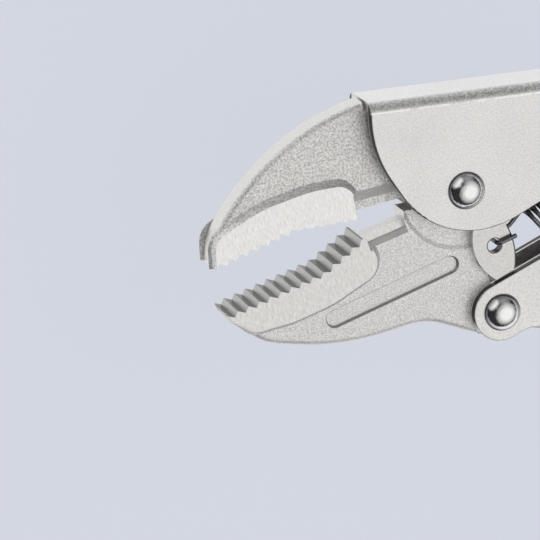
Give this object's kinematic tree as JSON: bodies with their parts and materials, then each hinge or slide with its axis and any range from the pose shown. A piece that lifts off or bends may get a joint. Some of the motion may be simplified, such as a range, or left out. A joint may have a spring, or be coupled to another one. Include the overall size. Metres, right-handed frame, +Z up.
{
  "type": "locking pliers",
  "caption": "Locking grip pliers with toothed forged jaws, a wire cutter, pressed channel handles, an over-centre toggle link, a release lever and an adjusting screw.",
  "frame": {"origin": "under the middle of the outline, on the plane that the lowest rivet heads rest on", "axes": "+X from the jaws to the adjusting screw, +Y from the lower to the upper handle, +Z up along the pivot axes"},
  "size_m": [0.2497, 0.071, 0.0218],
  "materials": {
    "sheet_steel": "satin nickel plate on pressed steel sheet",
    "forged_steel": "blasted nickel plate on forged steel, ground bright on the toothed lands",
    "link_steel": "satin nickel plate on pressed steel",
    "screw_steel": "nickel plate on turned steel",
    "rivet_steel": "polished",
    "spring_wire": "dark blued spring wire"
  },
  "bodies": {
    "upper_body": {"upper_handle": "sheet_steel", "upper_jaw": "forged_steel", "main_pivot_rivet": "rivet_steel", "tang_rivet": "sheet_steel", "spring_pin": "sheet_steel", "opening_spring": "spring_wire"},
    "jaw_body": {"lower_jaw": "forged_steel"},
    "handle_body": {"lower_handle": "sheet_steel", "hand_pivot_rivet": "rivet_steel", "link_rivet": "rivet_steel", "lever_rivet": "rivet_steel"},
    "link_body": {"toggle_link": "link_steel"},
    "lever_body": {"release_lever": "link_steel"},
    "screw_body": {"adjusting_screw": "screw_steel"}
  },
  "joints": [
    {"name": "jaw_pivot", "type": "hinge", "parent": "upper_body", "child": "jaw_body", "pos_m": [-0.0615, 0.0115, 0.0109], "axis": [0, 0, 1], "range_deg": [0, 12.5], "deforming": ["opening_spring"]},
    {"name": "handle_pivot", "type": "hinge", "parent": "jaw_body", "child": "handle_body", "pos_m": [-0.0528, -0.0207, 0.0109], "axis": [0, 0, -1], "range_deg": [0, 50]},
    {"name": "link_pivot", "type": "hinge", "parent": "handle_body", "child": "link_body", "pos_m": [-0.02275, -0.00706, 0.0109], "axis": [0, 0, 1], "range_deg": [0, 56.25]},
    {"name": "lever_pivot", "type": "hinge", "parent": "handle_body", "child": "lever_body", "pos_m": [0.0105, -0.0195, 0.0109], "axis": [0, 0, -1], "range_deg": [0, 6.5]},
    {"name": "screw_slide", "type": "slide", "parent": "upper_body", "child": "screw_body", "axis": [0.9877, -0.1564, 0], "range_m": [0, 0.008]}
  ],
  "couplings": [
    {"joint": "jaw_pivot", "follows": "handle_pivot", "ratio": 0.25},
    {"joint": "link_pivot", "follows": "handle_pivot", "ratio": 1.125}
  ]
}
